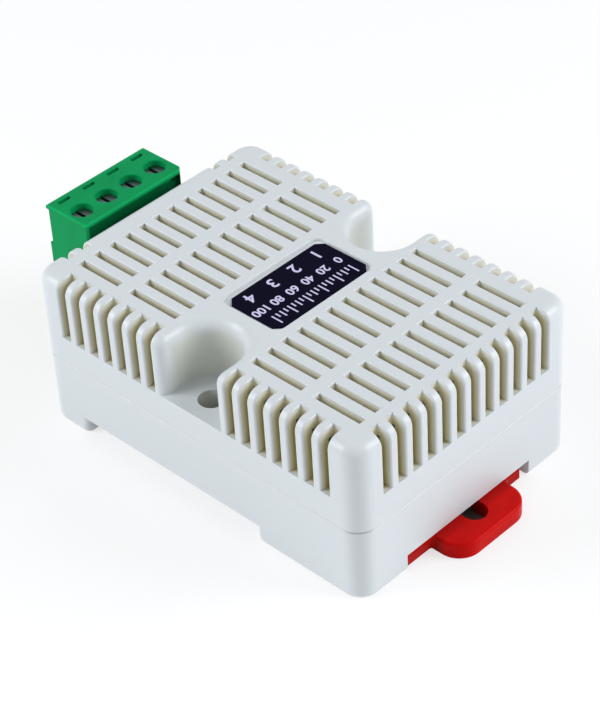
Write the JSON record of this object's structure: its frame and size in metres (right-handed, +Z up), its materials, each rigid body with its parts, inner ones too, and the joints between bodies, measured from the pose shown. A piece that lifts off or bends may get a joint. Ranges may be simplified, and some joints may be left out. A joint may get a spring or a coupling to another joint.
{
  "type": "temperature humidity sensor",
  "caption": "Vented sensor housing for rail or wall, with a sliding rail latch, screw notches, a dark label and a pull-out screw terminal with working wire clamps.",
  "frame": {"origin": "middle of the whole footprint, terminal and pull tab included, on the plane that the feet stand on", "axes": "+X towards the rail latch, -X towards the screw terminal, +Z up through the vented lid"},
  "size_m": [0.0814, 0.0456, 0.0275],
  "materials": {
    "housing_plastic": "fine satin texture",
    "label_film": "dark printed film",
    "board_laminate": "solder mask over laminate",
    "header_plastic": "satin",
    "terminal_plastic": "satin",
    "latch_plastic": "semi-gloss",
    "pin_metal": "tin plated",
    "contact_metal": "tin plated",
    "screw_steel": "dull zinc",
    "cage_metal": "nickel plated",
    "sensor_mould": "matte",
    "chip_mould": "matte",
    "can_metal": "satin",
    "ferrite": "matte sintered",
    "resistor_body": "matte",
    "ceramic_body": "fired ceramic",
    "crystal_can": "satin",
    "led_lens": "clear"
  },
  "bodies": {
    "housing": {"base_shell": "housing_plastic", "lid_cover": "housing_plastic", "label_sheet": "label_film", "circuit_board": "board_laminate", "header_shell": "header_plastic", "header_pins": "pin_metal", "sensor_chip": "sensor_mould", "microcontroller": "chip_mould", "bus_transceiver": "chip_mould", "voltage_regulator": "chip_mould", "filter_capacitor": "can_metal", "power_inductor": "ferrite", "protection_diodes": "chip_mould", "chip_resistors": "resistor_body", "chip_capacitors": "ceramic_body", "crystal": "crystal_can", "status_led": "led_lens"},
    "latch": {"din_latch": "latch_plastic"},
    "plug": {"plug_shell": "terminal_plastic", "plug_contacts": "contact_metal"},
    "screw_1": {"plug_screw_1": "screw_steel"},
    "cage_1": {"plug_cage_1": "cage_metal"},
    "screw_2": {"plug_screw_2": "screw_steel"},
    "cage_2": {"plug_cage_2": "cage_metal"},
    "screw_3": {"plug_screw_3": "screw_steel"},
    "cage_3": {"plug_cage_3": "cage_metal"},
    "screw_4": {"plug_screw_4": "screw_steel"},
    "cage_4": {"plug_cage_4": "cage_metal"}
  },
  "joints": [
    {"name": "latch_slide", "type": "slide", "parent": "housing", "child": "latch", "axis": [1, 0, 0], "range_m": [0, 0.003]},
    {"name": "plug_pull", "type": "slide", "parent": "housing", "child": "plug", "axis": [-1, 0, 0], "range_m": [0, 0.01]},
    {"name": "screw_1_turn", "type": "hinge", "parent": "plug", "child": "screw_1", "pos_m": [-0.0353, -0.00762, 0.0184], "axis": [0, 0, 1], "range_deg": [0, 1980]},
    {"name": "cage_1_lift", "type": "slide", "parent": "plug", "child": "cage_1", "axis": [0, 0, -1], "range_m": [0, 0.00248]},
    {"name": "screw_2_turn", "type": "hinge", "parent": "plug", "child": "screw_2", "pos_m": [-0.0353, -0.00254, 0.0184], "axis": [0, 0, 1], "range_deg": [0, 1980]},
    {"name": "cage_2_lift", "type": "slide", "parent": "plug", "child": "cage_2", "axis": [0, 0, -1], "range_m": [0, 0.00248]},
    {"name": "screw_3_turn", "type": "hinge", "parent": "plug", "child": "screw_3", "pos_m": [-0.0353, 0.00254, 0.0184], "axis": [0, 0, 1], "range_deg": [0, 1980]},
    {"name": "cage_3_lift", "type": "slide", "parent": "plug", "child": "cage_3", "axis": [0, 0, -1], "range_m": [0, 0.00248]},
    {"name": "screw_4_turn", "type": "hinge", "parent": "plug", "child": "screw_4", "pos_m": [-0.0353, 0.00762, 0.0184], "axis": [0, 0, 1], "range_deg": [0, 1980]},
    {"name": "cage_4_lift", "type": "slide", "parent": "plug", "child": "cage_4", "axis": [0, 0, -1], "range_m": [0, 0.00248]}
  ],
  "couplings": [
    {"joint": "screw_1_turn", "follows": "cage_1_lift", "rad_per_m": 13963},
    {"joint": "screw_2_turn", "follows": "cage_2_lift", "rad_per_m": 13963},
    {"joint": "screw_3_turn", "follows": "cage_3_lift", "rad_per_m": 13963},
    {"joint": "screw_4_turn", "follows": "cage_4_lift", "rad_per_m": 13963}
  ]
}
